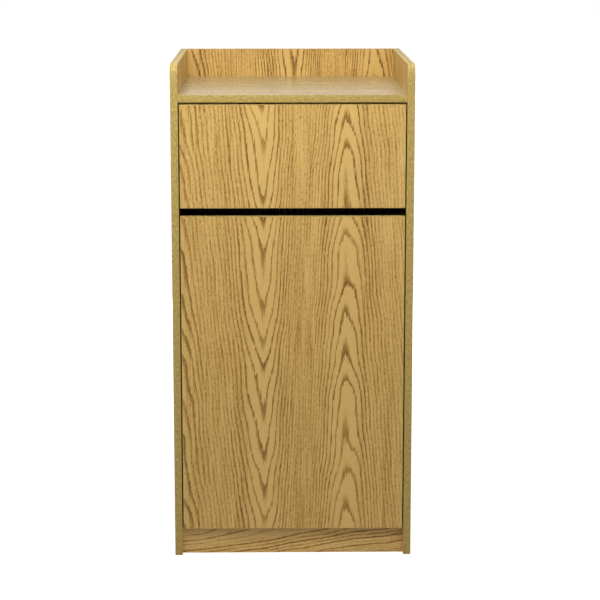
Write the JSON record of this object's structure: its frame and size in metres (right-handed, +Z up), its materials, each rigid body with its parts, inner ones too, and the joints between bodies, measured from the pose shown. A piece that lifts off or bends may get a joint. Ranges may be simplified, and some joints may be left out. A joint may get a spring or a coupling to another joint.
{
  "type": "tray top trash can",
  "caption": "Oak laminate waste cabinet with a tray surface inside a low gallery, a push flap that swings inwards, a side-hung door and a rigid liner inside.",
  "frame": {"origin": "on the floor, in the middle of the cabinet's base", "axes": "+X to the right as one faces the front, +Y towards the back, +Z up; the front with the flap and the door faces -Y"},
  "size_m": [0.61, 0.61, 1.27],
  "materials": {
    "oak_laminate": "satin printed oak laminate on particle board",
    "tray_laminate": "satin printed oak laminate on particle board",
    "edge_band": "satin plastic edge band",
    "dowel_wood": "plain turned beech",
    "nickel_steel": "nickel plated pressed steel",
    "zinc_steel": "zinc plated steel",
    "dark_steel": "blackened steel",
    "nylon": "moulded nylon",
    "catch_plastic": "moulded plastic",
    "ferrite": "sintered ferrite",
    "liner_plastic": "moulded polyethylene"
  },
  "bodies": {
    "root": {"left_side_panel": "oak_laminate", "right_side_panel": "oak_laminate", "back_panel": "oak_laminate", "tray_top": "tray_laminate", "deck_panel": "oak_laminate", "kick_plate": "oak_laminate", "left_side_edge_band": "edge_band", "right_side_edge_band": "edge_band", "back_edge_band": "edge_band", "tray_edge_band": "edge_band", "carcass_dowels": "dowel_wood", "flap_stop_rail": "oak_laminate", "stop_rail_screws": "zinc_steel", "flap_pivot_bushes": "nylon", "hinge_arms": "nickel_steel", "hinge_arm_screws": "zinc_steel", "hinge_mounting_plates": "nickel_steel", "hinge_plate_screws": "zinc_steel", "catch_housing": "catch_plastic", "catch_magnet": "ferrite", "catch_pole_plates": "nickel_steel", "catch_screws": "zinc_steel", "liner_bin": "liner_plastic"},
    "flap": {"push_flap": "oak_laminate", "flap_edge_band": "edge_band", "flap_pivot_pins": "dark_steel"},
    "door": {"door_panel": "oak_laminate", "door_edge_band": "edge_band", "hinge_cups": "nickel_steel", "hinge_cup_screws": "zinc_steel", "hinge_pins": "nickel_steel", "strike_plate": "nickel_steel", "strike_screw": "zinc_steel"}
  },
  "joints": [
    {"name": "flap_swing", "type": "hinge", "parent": "root", "child": "flap", "pos_m": [0, -0.2955, 1.1475], "axis": [1, 0, 0], "range_deg": [0, 80]},
    {"name": "door_swing", "type": "hinge", "parent": "root", "child": "door", "pos_m": [0.264, -0.295, 0.4797], "axis": [0, 0, 1], "range_deg": [0, 100]}
  ]
}
